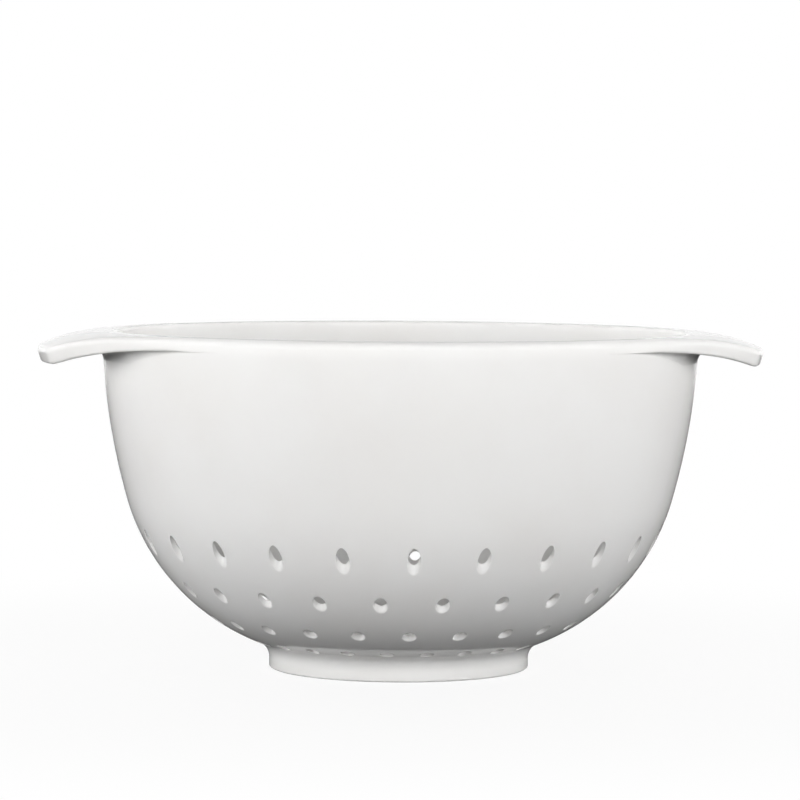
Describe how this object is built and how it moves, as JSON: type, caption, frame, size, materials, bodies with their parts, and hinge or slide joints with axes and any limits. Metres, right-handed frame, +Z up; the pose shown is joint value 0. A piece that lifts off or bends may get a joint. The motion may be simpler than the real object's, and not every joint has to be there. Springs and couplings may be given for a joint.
{
  "type": "colander",
  "caption": "Round moulded melamine colander: a deep bowl with rings of drain holes in its lower wall and floor, two drooping ear handles on the rim and a foot ring.",
  "frame": {"origin": "on the table, under the axis of the bowl, at the middle of the foot ring", "axes": "+X through the right handle as seen from the front, -Y towards the front, +Z up along the bowl's axis"},
  "size_m": [0.2906, 0.2392, 0.1355],
  "materials": {
    "melamine": "glossy white moulded melamine"
  },
  "bodies": {
    "root": {"rim_ring": "melamine", "side_wall": "melamine", "upper_strainer_band": "melamine", "lower_strainer_band": "melamine", "strainer_floor": "melamine", "foot_ring": "melamine", "handle_left": "melamine", "handle_right": "melamine"}
  },
  "joints": []
}
